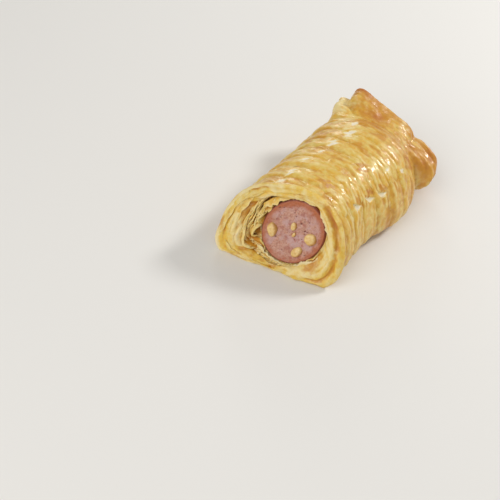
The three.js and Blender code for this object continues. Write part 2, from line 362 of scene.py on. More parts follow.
def in_wall(direction, depth):
    """The place in the cut's section at a direction and a depth."""
    reach = SAUSAGE_RADIUS + wall_at(direction) * (1 - depth)
    return SAUSAGE_X + reach * np.cos(direction), SAUSAGE_Z + reach * np.sin(direction)


def full_turn(direction):
    """A direction in degrees from 0 to 360."""
    return np.degrees(direction) % 360


def hollow(direction):
    """1 where the layers tore apart, 0 where the wall is whole."""
    degrees = full_turn(direction)
    return smoothstep(degrees, *HOLLOW_FROM) * (1 - smoothstep(degrees, *HOLLOW_TO))


def pocket(direction):
    """How deep the hollow is, 0 to 1."""
    return bell(full_turn(direction), POCKET_MIDDLE, POCKET_SPREAD)


for degrees in (0, 90, 180, 270):
    print("wall in mm towards", degrees, "degrees:", round(float(wall_at(math.radians(degrees))), 1))

# %% [markdown]
# ## The dough body
# Under the strips lies one sheet of dough that wraps the sausage. It shows below the strips, in the
# gaps between them and behind the rim. It could be a tube with a separate end, but on the real roll
# the bore, the torn crumb of the cut and the outside are one skin. So it is one laid sheet: its first
# rows line the bore that holds the sausage, the next cross the cut face, and the rest run along the
# outside, a little lower under the strips, to a rounded end inside the folds.

# %% Sizes of the dough body
BODY_STEPS = (260, 250)
BORE_SHARE = 0.05
FACE_SHARE = 0.16
BACK_SHARE = 0.06
SIDE_SHARE = 1 - BORE_SHARE - FACE_SHARE - BACK_SHARE
BORE_DEPTH = 14
FACE_DEPTHS = (1.02, 0.18)
FACE_SET_BACK = 1.6
CRUMB_SET_BACK = 1.2
POCKET_DEPTH = 5.5
BODY_BACK_Y = END_Y - 14
BODY_BACK_ROUND = 3
SIDE_SINK = 0.6
BODY_CRINKLES = [(3.5, 0.4)]


def face_sunk(direction, depth):
    """How far the crumb of the cut face lies behind the cut."""
    torn_back = POCKET_DEPTH * pocket(direction) * smoothstep(depth, 0.3, 0.62)
    return FACE_SET_BACK + CRUMB_SET_BACK * hollow(direction) + torn_back


def drawn_in(value, middle, share):
    """Draws a value in to a share of its distance from a middle."""
    return middle + (value - middle) * share


deepest = face_sunk(math.radians(POCKET_MIDDLE), 1)
print("deepest place of the hollow in mm:", round(float(deepest), 1))

# %% Shape the dough body
def body_shape(u, v):
    """The dough body from the bore across the face and along the outside to the far end."""
    angle = np.radians(270 - 360 * u)
    bore = stretch(v, 0, BORE_SHARE)
    face = stretch(v, BORE_SHARE, FACE_SHARE)
    side = stretch(v, BORE_SHARE + FACE_SHARE, SIDE_SHARE)
    back = stretch(v, 1 - BACK_SHARE, BACK_SHARE)

    start_x, _, start_z = on_roll(CUT_Y, angle, 0)
    direction = np.arctan2(start_z - SAUSAGE_Z, start_x - SAUSAGE_X)
    depth = np.interp(face, (0, 1), FACE_DEPTHS)
    x, z = in_wall(direction, depth)
    crumb = 0.35 * ripple(3, x * 1.6, z * 1.8) + 0.3 * ripple(4, x * 4, z * 3.6)
    y = cut_y(x, z) + face_sunk(direction, depth) + crumb * np.sin(np.pi * face)
    y = y + (1 - bore) * BORE_DEPTH
    lining = np.minimum(1, 3 * np.sqrt(bore))
    x = drawn_in(x, SAUSAGE_X, lining)
    z = drawn_in(z, SAUSAGE_Z, lining)

    start_y = cut_y(start_x, start_z) + FACE_SET_BACK
    side_y = start_y + (BODY_BACK_Y - start_y) * side
    low = (1 - smoothstep(np.sin(angle), 0.1, 0.5)) * smoothstep(np.sin(angle), -0.75, -0.3)
    side_x, _, side_z = on_roll(side_y, angle, -SIDE_SINK * low)
    shrink = np.cos(back * np.pi / 2)
    side_y = side_y + BODY_BACK_ROUND * np.sin(back * np.pi / 2)

    outside = side > 0
    x = np.where(outside, drawn_in(side_x, BOW / 2, shrink), x)
    y = np.where(outside, side_y, y)
    z = np.where(outside, drawn_in(side_z, SAUSAGE_Z, shrink), z)
    under = smoothstep(-np.sin(angle), 0.3, 0.8)
    # Inside, the face is browner where the hollow is deep: painted shade.
    toast_and_shade = np.where(outside, 0.1 + 0.45 * under, 0.1 + 0.6 * pocket(direction))
    pale = np.where(outside, 0.35 * low, 0.4)
    return (x, y, z), (toast_and_shade, pale, 0.4), (20 * angle, y, 1)


dough_body = laid_sheet("dough_body", BODY_STEPS, body_shape)
close_up(dough_body)
crinkle(dough_body, BODY_CRINKLES)
print("dough body:", len(dough_body.data.vertices), "points")

# %% [markdown]
# ## Flaked, torn and browned places
# The crust isn't the same everywhere. On the top the glaze flaked off in white patches, three strip
# ends on the right tore and left pale triangles, each with a painted shadow under the strip end
# above it, and other places browned, turned rosy or stayed hazy. They are too few and too plain to
# see for a random pattern, so each is listed: an oval by its place in millimetres along and degrees
# round the roll, its two half sizes in millimetres and its strength, and a triangle by its corners.
# The painted shadows are the last three ovals of the browned list.

# %% Where the patches are
ARC_PER_DEGREE = 0.45
FLAKED = [
    (-37, 116, 3, 1.3, 1), (-31, 112, 2.6, 1.6, 1), (-24, 111.5, 3, 1.6, 1), (-13, 113, 3, 1.3, 1),
    (-4.5, 107.5, 2, 1, 1), (3.4, 105.3, 3, 1.8, 1), (13, 101, 3.4, 1.6, 1), (21, 104, 2.6, 1.2, 1),
    (7.8, 54, 1.8, 1, 1), (16, 43.5, 1.6, 1.4, 1),
    (-27, 152, 2.6, 1.6, 1), (-7, 146, 2, 1.4, 1), (14, 150, 2.6, 1.5, 1),
]
BROWNED_AND_SHADED = [
    (-23, 82, 4, 4, 0.3), (-25, 68, 3.4, 3, 0.3), (-2, 70, 4, 4, 0.3), (27, 42, 6, 4.5, 0.5),
    (-15, 140, 5, 5, 0.2), (9, 130, 5, 4, 0.2), (26, 150, 6, 6, 0.4),
    # Painted shadow under the strip ends above the three torn triangles:
    (-14.8, 47.5, 2.6, 1.8, 0.35), (-7, 45, 3, 2, 0.55), (0.3, 42.5, 3, 2, 0.55),
]
HAZED = [(26, 119, 5, 4, 0.5), (18, 105, 5, 3.4, 0.4), (11, 97, 4, 2.4, 0.35)]
ROSY = [(-22.6, 76.8, 2.4, 3.6, 0.8), (-1.8, 72, 2.6, 3.6, 0.8), (-11, 77, 2.2, 2.8, 0.5)]
TORN = [
    ((-19, 47.8), (-18.3, 37.2), (-13.4, 39.4)),
    ((-11.3, 44.5), (-9, 36.5), (-4.1, 37.7)),
    ((-3.4, 41), (-1.3, 32.9), (2.5, 36.5)),
]


def patches(y, degrees, places, ragged=0.5):
    """How strong the ovals of a list are at a point, each with an uneven border."""
    border = ragged * ripple(31, y * 1.7, degrees * 0.7)
    total = 0
    for along, turn, long, wide, strength in places:
        off = np.hypot((y - along) / long, (degrees - turn) * ARC_PER_DEGREE / wide)
        total = total + strength * (1 - smoothstep(off + border, 0.5, 1.1))
    return total


def torn(y, degrees):
    """1 inside the torn triangles, whose corners are listed in turn, and 0 outside."""
    border = 0.12 * ripple(32, y * 2.5, degrees)
    total = 0
    for corners in TORN:
        places = [np.array([along, turn * ARC_PER_DEGREE]) for along, turn in corners]
        inside = np.inf
        for start, end in zip(places, places[1:] + places[:1]):
            step = (end - start) / np.hypot(*(end - start))
            away = step[0] * (degrees * ARC_PER_DEGREE - start[1]) - step[1] * (y - start[0])
            inside = np.minimum(inside, away)
        total = total + smoothstep(inside + border, -0.1, 0.3)
    return total


print("patches:", len(FLAKED + BROWNED_AND_SHADED + HAZED + ROSY), "and torn triangles:", len(TORN))

# %% [markdown]
# ## The plaited strips
# Each strip is puff pastry that swelled to a soft low band. Strips from the right are laid first
# and end under those from the left, which run over the top in arcs parallel to the cut. A bent box
# would have hard edges all round, so a strip is two laid sheets: the glazed top leaf, whose front
# edge is rounded down onto its neighbour, and a lower leaf that peeps out unevenly there. A furrow
# and fine ridges run along the top leaf. They fade where the dough was pulled smooth: on the top,
# low on the flanks and towards the far end, which also browned more. The valleys between strips
# and the furrows are coloured a deeper gold, which is painted shade, and the ridge tops paler,
# partly the wash's own colour and partly a painted highlight.

# %% Sizes and relief of a strip
STRIP_PITCH = 8.6
STRIP_WIDTH = 1.13 * STRIP_PITCH
LAST_STRIP_Y = 27
ROOT_ANGLE = -38
TIP_FROM = 0.965
TOP_LEAF = {"level": 0.8, "thickness": 0.7, "steps": (150, 24), "reach": 0}
LOW_LEAF = {"level": 0.25, "thickness": 0.5, "steps": (110, 4), "reach": 0.4}
STRIPS = {
    "right": {"tip": 98, "first": -53, "lift": 0.1, "slant": 0.06, "rise": 0.36, "seed": 100},
    "left": {"tip": 142, "first": -36.5, "lift": 0.5, "slant": 0.4, "rise": 0.06, "seed": 600},
}
SHINGLE = 0.6
CROWN = 0.4
NOSE = 0.8
NOSE_WIDTH = 1.5
FURROW = 0.42
FURROW_WIDTH = 1.1
RIDGE = 0.18
RIDGE_PITCH = 3
SMOOTH_ANGLE = 112
SMOOTH_SPREAD = 36
SMOOTH_FROM_Y = (-2, 22)
FLANK_ANGLES = (6, 36)
UPRIGHT_FROM_Y = (-10, 36)
BROWNING_Y = (5, END_Y)
BARE_SINK = 0.25
GAP_SINK = 0.2


def furrow_at(length, across, width, seed):
    """The furrow along a strip, 0 to 1."""
    middle = 0.08 + 0.1 * ripple(seed + 7, length / 9)
    strength = np.clip(0.6 + 0.7 * ripple(seed + 8, length / 8), 0, 1)
    return strength * bell(across * width, middle * width, FURROW_WIDTH)


def ridges_at(length, across, width, seed):
    """The fine ridges along a strip, about -1 to 1."""
    waver = 2.4 * ripple(seed + 3, length / 6, across * 1.8)
    strength = np.clip(0.4 + 0.8 * ripple(seed + 5, length / 5, across * 3), 0, 1.1)
    return strength * np.sin(2 * np.pi * across * width / RIDGE_PITCH + waver)


print("strip width in mm:", round(STRIP_WIDTH, 2))

# %% One leaf of a strip
def strip_leaf(side, leaf, root_y, seed):
    """One leaf of one strip, from its root low on a side over the roll to its tip."""
    sizes = STRIPS[side]
    shift_y, shift_lift, shift_tip, tone = np.random.default_rng(seed).uniform(-1, 1, 4)
    tip_angle = sizes["tip"] + 3 * shift_tip
    base_y = root_y + 0.6 * shift_y
    level = sizes["lift"] + 0.2 * shift_lift + leaf["level"]
    slant = sizes["slant"] * (1 - 0.6 * smoothstep(base_y, *UPRIGHT_FROM_Y))
    on_top = leaf is TOP_LEAF

    def shape(u, v):
        degrees = ROOT_ANGLE + (tip_angle - ROOT_ANGLE) * u
        length = ARC_PER_DEGREE * degrees
        if side == "left":
            degrees = 180 - degrees
        angle = np.radians(degrees)
        width = STRIP_WIDTH * (1 - 0.12 * smoothstep(u, TIP_FROM, 1))
        reach = leaf["reach"] * (1 + 1.1 * ripple(seed + 1, length / 2.2)) / width
        across = -0.5 - reach + v * (1 + reach)
        _, _, level_z = on_roll(base_y, angle, 0)
        wander = 0.6 * ripple(seed + 4, length / 7) + 0.2 * ripple(seed + 6, length / 2)
        y = base_y + slant * (level_z - SAUSAGE_Z) + width * across + wander

        smooth_top = bell(degrees, SMOOTH_ANGLE, SMOOTH_SPREAD)
        flank = 1 - smoothstep(np.minimum(degrees, 180 - degrees), *FLANK_ANGLES)
        smooth = 0.7 * smooth_top + 0.4 * flank + 0.45 * smoothstep(y, *SMOOTH_FROM_Y)
        ridges = ridges_at(length, across, width, seed) * (1 - np.minimum(smooth, 0.85))
        furrow = furrow_at(length, across, width, seed)
        nose = bell(across * width, -width / 2, NOSE_WIDTH)
        gap = torn(y, degrees)
        bare = np.minimum(1, gap + patches(y, degrees, FLAKED))
        relief = CROWN * (1 - (2 * across) ** 2) - SHINGLE * across
        if on_top:
            relief = relief - (NOSE * nose + FURROW * furrow) * (1 - 0.35 * flank - 0.3 * smooth_top)
            relief = relief + RIDGE * ridges
        height = level + relief * (1 - gap) + 0.2 * ripple(seed + 2, length / 2.6, across * 5)
        height = height - BARE_SINK * bare - GAP_SINK * gap
        bed = smoothstep(u, 0, sizes["rise"]) - smoothstep(u + 0.02 * (2 * across) ** 4, TIP_FROM, 1)
        places = on_roll(y, angle, height * bed)

        # Painted shade: the rounded front edge and the edge tucked under the next strip are darker.
        shaded_valley = np.maximum(smoothstep(across, 0.2, 0.48), 0.9 * nose)
        haze = patches(y, degrees, HAZED)
        browning = 0.3 * smoothstep(y, *BROWNING_Y) + patches(y, degrees, BROWNED_AND_SHADED) - 0.5 * haze
        # The valley and furrow terms darken as painted shade; the ridge terms are partly a painted
        # highlight.
        toast_and_shade = 0.04 + 0.1 * tone + 0.3 * shaded_valley + 0.3 * furrow - 0.24 * ridges + browning
        pale = 0.24 + 0.36 * ridges - 0.2 * shaded_valley - 0.2 * furrow + 1.2 * bare if on_top else 0.55
        pale = (pale + haze) * (1 - gap) + 1.35 * gap
        doughy = 0.2 - patches(y, degrees, ROSY, 0.6)
        return places, (toast_and_shade * (1 - gap), pale, doughy), (length, across * width, seed)

    outward = -1 if side == "left" else 1
    return thin_leaf(leaf["steps"], shape, leaf["thickness"], outward)


print("leaves of a strip:", {"top": TOP_LEAF["steps"], "low": LOW_LEAF["steps"]})

# %% [markdown]
# ## Laying the strips side by side
# The strips of a side are laid in rows and joined, and what is in front of the cut is bisected
# away, as the baker's knife does.

# %% Lay all strips
CUT_BEHIND = 1.2
STRIP_CRINKLES = [(2.8, 0.22), (1.2, 0.08)]


def strips(side):
    """All strips of one side, cut off where the roll was cut."""
    sizes = STRIPS[side]
    rows = np.arange(sizes["first"], LAST_STRIP_Y, STRIP_PITCH)
    leaves = []
    for row, root_y in enumerate(rows):
        for leaf in (TOP_LEAF, LOW_LEAF):
            leaves.append(strip_leaf(side, leaf, root_y, sizes["seed"] + 10 * row))
    piece = joined(side + "_strips", leaves)
    close_up(piece)
    crinkle(piece, STRIP_CRINKLES)
    bpy.ops.object.mode_set(mode="EDIT")
    bpy.ops.mesh.select_all(action="SELECT")
    bpy.ops.mesh.bisect(
        plane_co=to_frame((SAUSAGE_X, CUT_Y + CUT_BEHIND, SAUSAGE_Z)),
        plane_no=Vector((CUT_RUN_X, -1, CUT_RUN_Z)).normalized(),
        clear_outer=True,
    )
    bpy.ops.object.mode_set(mode="OBJECT")
    print(piece.name, len(rows), "strips,", len(piece.data.polygons), "faces")
    return piece


right_strips = strips("right")
left_strips = strips("left")

# %% [markdown]
# ## The rim of the cut
# The cut goes through rolled dough, so the rim is a rounded band, layered like an onion: soft lines
# run round it side by side, darker in their grooves as painted shade. It fills the whole wall on the
# right and at the top, and only its outer half beside the hollow, where its face is lumpy and darker
# in the dips, again painted shade. On the right a deeper valley, darkened as painted shade, parts it
# from the strips, a pale ring lies inside that, and a crescent below is darkened as a painted
# shadow. Beside the hollow the outer edge is paler, a painted highlight, and the inner edge by the
# deepest part darker, painted shade. A torus would be equally thick all round, so the rim is a laid
# sheet that closes on itself as a ring.

# %% Sizes and lines of the rim
RIM_STEPS = (420, 110)
RIM_SHARE = 0.455
RIM_SHARE_HOLLOW = 0.28
RIM_THINNER = 0.1
THINNEST_AT = 256
THINNING_SPREAD = 28
RIM_BULGE = 2.5
RIM_FLOOR = 0.03
RIM_LINES = (0.4, 0.8, 1.15, 1.6)
LINE_WIDTH = 0.5
LINE_DEPTH = 0.34
VALLEY_LINE = 0.64
VALLEY_WIDTH = 0.8
VALLEY_DEPTH = 1.1
RIM_CRINKLES = [(2.4, 0.35)]


def rim_half(direction):
    """Half of the rim's width in a direction from the sausage's middle."""
    thinner = RIM_THINNER * bell(full_turn(direction), THINNEST_AT, THINNING_SPREAD)
    share = drawn_in(RIM_SHARE_HOLLOW, RIM_SHARE, hollow(direction)) - thinner
    return share * wall_at(direction) * (1 + 0.05 * ripple(21, *circling(direction)))


def rim_groove(inward, half, around):
    """The soft lines round the rim: 1 in a groove and below 0 on the lip beside it."""
    groove = 0
    for number, line in enumerate(RIM_LINES):
        seed = 220 + 5 * number
        away = inward - half * line - 0.5 * ripple(seed, *around)
        strength = np.clip(0.35 + 0.75 * ripple(seed + 1, *around), 0, 1)
        steep = np.where(away > 0, LINE_WIDTH, 2.2 * LINE_WIDTH)
        groove = groove + strength * bell(away, 0, steep) * np.sign(away + 0.3)
    return np.clip(groove, -0.4, 1)


print("rim's width on the right in mm:", round(2 * float(rim_half(0)), 1))

# %% Shape the rim
def rim_shape(u, v):
    """The rim, a ring round the sausage whose own round is v."""
    direction = 2 * np.pi * u
    turn = 2 * np.pi * v
    around = circling(direction)
    half = rim_half(direction)
    bulge = np.minimum(RIM_BULGE, half)
    inward = half * (1 - np.cos(turn))
    across = inward / half
    front = smoothstep(np.sin(turn), -0.1, 0.5)
    open_here = hollow(direction)
    deep_here = pocket(direction)

    groove = front * rim_groove(inward, half, around)
    shaded_valley = bell(inward, half * VALLEY_LINE + 0.35 * ripple(27, *around), VALLEY_WIDTH)
    shaded_valley = shaded_valley * smoothstep(np.cos(direction - 0.1), 0.35, 0.75)
    lumps = ripple(24, 2.4 * around[0], 2.4 * around[1], inward / 1.6) * (0.4 + 0.6 * open_here)
    wave = 0.7 * ripple(23, *around) + 0.65 * lumps
    x, z = in_wall(direction, inward / wall_at(direction))
    z = np.maximum(z, RIM_FLOOR)
    y = cut_y(x, z) + 0.5 * bulge + wave - bulge * np.sin(turn)
    y = y + LINE_DEPTH * groove + VALLEY_DEPTH * shaded_valley

    inner = smoothstep(across, 1.2, 1.9)
    # Painted highlight: the outer edge beside the hollow is paler.
    outer = front * (1 - smoothstep(across, 0.15, 0.7)) * open_here
    ring = smoothstep(across, 0.85, 1.2) * (1 - open_here)
    blotch = np.clip(ripple(28, 4 * around[0], 4 * around[1], inward), 0, 1)
    # Painted shadow: a darker crescent low on the right, between the sausage and the rim.
    crescent = bell(np.sin(direction), -0.55, 0.3) * smoothstep(np.cos(direction), 0.3, 0.7)
    crescent = crescent * smoothstep(across, 1.25, 1.6)
    # Painted shade: grooves, the valley, the crescent, the lumps' dips and the inner edge by the deep
    # hollow are darker.
    dark = np.maximum(groove, 0)
    toast_and_shade = -0.1 + 0.25 * dark + 0.65 * shaded_valley + 0.45 * crescent
    toast_and_shade = toast_and_shade + 0.5 * inner * deep_here + 0.3 * blotch * open_here + 0.3 * np.maximum(lumps, 0)
    pale = 0.28 + 0.1 * front + 0.35 * ring + 0.45 * outer + 0.35 * inner * open_here * (1 - deep_here)
    pale = pale - 0.3 * dark - 0.3 * shaded_valley - 0.5 * crescent - 0.55 * lumps
    return (x, y, z), (toast_and_shade, pale, 0.7), (20 * direction, inward, 3)


rim = laid_sheet("rim", RIM_STEPS, rim_shape)
close_up(rim)
crinkle(rim, RIM_CRINKLES)
print("rim:", len(rim.data.polygons), "faces")

# %% [markdown]
# ## Leaves and flakes in the hollow
# In the hollow the layers tore, curled and dried into thin leaves and flakes with dark gaps
# between them, and each leaf is painted darker from its pale front edge back into the hollow, as
# painted shade. A picture of flakes would look flat from the side, so each is a laid sheet bent round
# part of the wall: it has a span of directions, a depth that may lean from front to back, and a
# ragged front edge. Long leaves follow a rule, short flakes are placed by seeded draws, and those at
# the edges of the hollow are listed.

# %% One leaf in the wall
LEAF_STEPS = (70, 9)
FLAKE_STEPS = (18, 8)
LEAF_THICKNESS = 0.4
LEAF_LONG = 5
LEAF_FLOOR = 0.5


def wall_leaf(steps, sizes, seed):
    """A thin leaf bent round part of the wall, with a ragged front edge."""
    def shape(u, v):
        part = 2 * u - 1
        front = 1 - v
        direction = np.radians(sizes["middle"] + sizes["spread"] * part * (1 - 0.35 * front ** 2))
        arc = np.radians(sizes["spread"]) * part * 16
        depth = sizes["depth"] + sizes["lean"] * (front - 0.5) - sizes.get("bend", 0) * part ** 2
        depth = depth + 0.04 * ripple(seed, arc / 5, v * 2) + 0.02 * front * ripple(seed + 1, arc / 2)
        x, z = in_wall(direction, np.clip(depth, 0.4, 1.03))
        rag = sizes["ragged"] * (ripple(seed + 2, arc / 2.5) + 0.3 * ripple(seed + 3, arc * 2))
        set_back = sizes["back"] + rag * front + 1.2 * part ** 6
        y = cut_y(x, z) + set_back + sizes.get("long", LEAF_LONG) * v
        # Painted shade: the leaf darkens from its front edge back into the hollow.
        inside = smoothstep(v, 0.08, 0.5)
        toast_and_shade = 0.02 + 0.55 * inside
        pale = sizes.get("pale", 0.65) - 0.55 * inside
        return (x, y, np.maximum(z, LEAF_FLOOR)), (toast_and_shade, pale, 0.8), (arc, 6 * v, seed)

    return thin_leaf(steps, shape, sizes.get("thickness", LEAF_THICKNESS))


print("a leaf is", LEAF_THICKNESS, "mm thick and", LEAF_LONG, "mm long where nothing else is said")

# %% Fill the hollow with leaves
LONG_LEAVES = 9
FLAKES = 10
EDGE_LEAVES = [
    {"middle": 268, "spread": 26, "depth": 0.86, "lean": 0.08, "back": 0.2, "ragged": 0.6},
    {"middle": 250, "spread": 22, "depth": 0.72, "lean": 0.1, "back": 0.3, "ragged": 0.6},
    {"middle": 300, "spread": 18, "depth": 0.8, "lean": 0.1, "back": 0.3, "ragged": 0.6},
    {"middle": 322, "spread": 24, "depth": 0.95, "lean": 0.05, "back": 0.1, "ragged": 0.35},
    {"middle": 205, "spread": 24, "depth": 0.55, "lean": 0.1, "back": -0.4, "ragged": 0.2, "thickness": 1},
]


def long_leaf(number):
    """A long leaf of the hollow: they stand side by side from the rim to the sausage."""
    share = number / (LONG_LEAVES - 1)
    draws = np.random.default_rng(400 + number)
    sizes = {
        "middle": POCKET_MIDDLE + 14 * (1 - share) + draws.uniform(-9, 9),
        "spread": 46 - 14 * share + draws.uniform(-6, 6),
        "depth": 0.56 + 0.34 * share,
        "bend": 0.09,
        "lean": draws.uniform(-0.1, 0.1),
        "back": 0.2 + 1.7 * share + draws.uniform(-0.3, 0.8),
        "ragged": 0.45,
        "thickness": draws.uniform(0.35, 0.7),
    }
    return wall_leaf(LEAF_STEPS, sizes, 400 + 10 * number)


def short_flake(number):
    """A small curled flake somewhere in the hollow."""
    draws = np.random.default_rng(700 + number)
    sizes = {
        "middle": POCKET_MIDDLE + draws.uniform(-40, 62),
        "spread": draws.uniform(7, 15),
        "depth": draws.uniform(0.58, 0.95),
        "bend": draws.uniform(-0.1, 0.1),
        "lean": draws.uniform(-0.25, 0.25),
        "back": draws.uniform(0.3, 2.4),
        "ragged": 0.35,
        "long": draws.uniform(2, 4.5),
        "pale": draws.uniform(0.5, 0.85),
    }
    return wall_leaf(FLAKE_STEPS, sizes, 700 + 10 * number)


leaves = [long_leaf(number) for number in range(LONG_LEAVES)]
leaves += [short_flake(number) for number in range(FLAKES)]
leaves += [wall_leaf(LEAF_STEPS, sizes, 900 + place) for place, sizes in enumerate(EDGE_LEAVES)]
print("leaves in the hollow:", len(leaves))

# %% [markdown]
# ## Laps and peels
# Round the sausage ragged flakes lap over its edge, and on the left thin leaves peel off the front
# of the rim. Both lie in the cut instead of standing in the wall, so they have shapes of their own:
# a lap is wide in the middle and runs out at its ends, and a peel follows the rim's round and lifts.

# %% Shape the laps
LAP_STEPS = (90, 7)
LAP_THICKNESS = 0.3
LAP_OUTER = 0.72
LAP_INNER_ENDS = 0.8
LAPS = [
    {"from": 12, "to": 62, "inner": 1.0, "lift": 0.75, "pale": 0.7},
    {"from": 66, "to": 112, "inner": 0.97, "lift": 0.4, "pale": 0.4},
    {"from": 104, "to": 160, "inner": 0.97, "lift": 0.5, "pale": 0.1},
    {"from": 286, "to": 336, "inner": 0.99, "lift": 0.3, "pale": 0.7},
    {"from": 222, "to": 284, "inner": 1.0, "lift": 0.45, "pale": 0.7},
]


def lap(sizes, seed):
    """A ragged flake that lies in the cut and laps over the sausage's edge."""
    def shape(u, v):
        direction = np.radians(sizes["from"] + (sizes["to"] - sizes["from"]) * u)
        arc = direction * SAUSAGE_RADIUS
        ends = np.sin(np.pi * u) ** 0.4
        teeth = 0.07 * ripple(seed, arc * 0.8) + 0.04 * ripple(seed + 1, arc * 2.1)
        inner = drawn_in(sizes["inner"] + teeth, LAP_INNER_ENDS, ends)
        x, z = in_wall(direction, drawn_in(inner, LAP_OUTER, v))
        curl = sizes["lift"] * (0.4 + 0.6 * v ** 2) + 0.2 * ripple(seed + 2, arc, v * 2) * v
        y = cut_y(x, z) + SAUSAGE_SET_BACK - curl * ends + 0.8 * (1 - ends) + 0.9 * (1 - v) ** 2
        return (x, y, z), (0.04, sizes["pale"] + 0.45 * v, 0.3), (arc, 3 * v, seed)

    return thin_leaf(LAP_STEPS, shape, LAP_THICKNESS)


leaves += [lap(sizes, 950 + 10 * place) for place, sizes in enumerate(LAPS)]
print("laps:", len(LAPS))

# %% Shape the peels and join all leaves
PEELS = 9
PEELS_AT = (85, 265)
PEEL_STEPS = (60, 6)
PEEL_THICKNESS = 0.3
PEEL_FLOOR = 0.05
LEAF_CRINKLES = [(2, 0.1)]


def peel(number):
    """A thin leaf that peels off the front of the rim."""
    seed = 1500 + 10 * number
    draws = np.random.default_rng(seed)
    middle = draws.uniform(*PEELS_AT)
    spread = draws.uniform(8, 24)
    start = draws.uniform(0.3, 1.5)
    wide = draws.uniform(0.25, 0.5)
    lift = draws.uniform(0.1, 0.45)

    def shape(u, v):
        direction = np.radians(middle + spread * (2 * u - 1))
        arc = direction * SAUSAGE_RADIUS
        ends = np.sin(np.pi * u) ** 0.5
        half = rim_half(direction)
        level = start + wide * v * ends + 0.05 * v * ripple(seed, arc * 1.5) - 1
        x, z = in_wall(direction, half * (1 + level) / wall_at(direction))
        bulge = np.minimum(RIM_BULGE, half)
        front = cut_y(x, z) + 0.5 * bulge - bulge * np.sqrt(np.maximum(0, 1 - level ** 2))
        y = front + 0.4 - ends * (0.1 + (0.4 + lift) * v)
        return (x, y, np.maximum(z, PEEL_FLOOR)), (0.08, 0.3 + 0.25 * v, 0.7), (arc, 3 * v, seed)

    return thin_leaf(PEEL_STEPS, shape, PEEL_THICKNESS)


leaves += [peel(number) for number in range(PEELS)]
torn_leaves = joined("torn_leaves", leaves)
close_up(torn_leaves)
crinkle(torn_leaves, LEAF_CRINKLES)
print("torn leaves:", len(leaves))

# %% [markdown]
# ## Crumbs under the sausage
# Below the sausage and at the hollow's foot the dough broke into pale crumbs. They could be
# scattered by particles, but seeded draws keep them where the dough broke in every run. Each crumb
# is a small ico sphere pulled out of shape, and they are joined into one mesh.

# %% Shape the crumbs
CRUMB_COUNT = 340
CRUMBS_AT = (200, 250, 312)
CRUMB_DEPTHS = (0.46, 0.97)
CRUMB_PROUD = (-0.4, 1)
CRUMB_SIZES = (0.3, 0.85)
CRUMB_STRETCH = (1.5, 1, 0.7)
CRUMB_FLOOR = 0.8


def crumb(seed):
    """A small uneven lump of dough in the wall at the cut."""
    draws = np.random.default_rng(seed)
    direction = math.radians(draws.triangular(*CRUMBS_AT))
    depth = draws.uniform(*CRUMB_DEPTHS)
    x, z = in_wall(direction, depth)
    y = cut_y(x, z) + face_sunk(direction, depth) - draws.uniform(*CRUMB_PROUD)
    bpy.ops.object.select_all(action="DESELECT")
    bpy.ops.mesh.primitive_ico_sphere_add(subdivisions=1, radius=1)
    piece = bpy.context.object
    ball = points_of(piece)
    lump = ball * draws.uniform(0.7, 1.3, (len(ball), 1))
    lump = lump * draws.uniform(*CRUMB_SIZES, 3) * CRUMB_STRETCH
    places = np.array([x, y, max(z, CRUMB_FLOOR)]) + lump
    bake = (draws.uniform(0, 0.25), draws.uniform(0.6, 1), 0.1)
    set_points(piece, places.T, bake, 5 * ball.T)
    return piece


crumbs = joined("crumbs", [crumb(1200 + number) for number in range(CRUMB_COUNT)])
close_up(crumbs)
with_modifier(crumbs, "SUBSURF", levels=1, render_levels=1)
print("crumbs:", CRUMB_COUNT)

# %% [markdown]
# ## The folded end
# At the far end the dough is pressed flat and folded: two layers end in thin edges, a pointed ear
# stands up on the left, a creased knob sticks out on the right and a notch lies between them. One
# seam crosses the back. The ear's tip and the knob brown most, the knob's creases are darker as
# painted shade, and the thin edges are paler, partly bare dough and partly a painted highlight.
# Pulling such forms out of a box would need many extrusions, so each layer is a laid sheet that
# closes at a pole inside the roll and a pole in its back.

# %% Sizes and creases of the folds
FOLD_STEPS = (260, 150)
FRONT_SHARE = 0.06
REAR_SHARE = 0.34
FOLD_DEPTH = 20
FOLD_FLARE = 0.6
FOLD_SUNK = 3
FOLD_ROUNDING = 2.6
FOLD_MIDDLE_X = 1.2
FOLD_MIDDLE_Z = 12
EAR_SPREAD = 19
EAR_TIP_SPREAD = 15
KNOB_ANGLE = 16
KNOB_SPREAD = 22
KNOB_CREASES = ((5.5, 1.1), (12.5, 1.3), (9, 0.4))
CREASE_WIDTH = 1.1
CREASE_LEAN = 0.06
NOTCH_ANGLE = 49
NOTCH_SPREAD = 7
NOTCH = 1.6
SEAM_WIDTH = 0.8
BROWN_BAND = {"angle": 97, "spread": 14, "set_back": 10.5, "depth": 3.5}
BROWN_HINGE = {"angle": 42, "spread": 16, "set_back": 13, "depth": 4}
PALE_ANGLE = 134
PALE_SPREAD = 13
FOLD_CRINKLES = [(4, 0.8), (1.8, 0.4), (0.9, 0.12)]
FOLDS = {
    "outer_fold": {"back": END_Y, "ear_angle": 120, "ear": 8.4, "knob": 6.5, "tip": 0.6, "seed": 41},
    "inner_fold": {"back": END_Y - 4.5, "ear_angle": 138, "ear": 7.6, "knob": 8, "tip": 0, "seed": 47},
}


def knob_crease(degrees, set_back):
    """The creases across the knob, in millimetres of depth."""
    place = set_back + CREASE_LEAN * (degrees - KNOB_ANGLE)
    crease = sum(depth * bell(place, middle, CREASE_WIDTH) for middle, depth in KNOB_CREASES)
    return crease * bell(degrees, KNOB_ANGLE, 1.6 * KNOB_SPREAD)


def browned_at(degrees, set_back, place):
    """1 in the middle of a browned place of the folds."""
    around = bell(degrees, place["angle"], place["spread"])
    return around * bell(set_back, place["set_back"], place["depth"])


print("folds from front to back in mm:", FOLD_DEPTH)

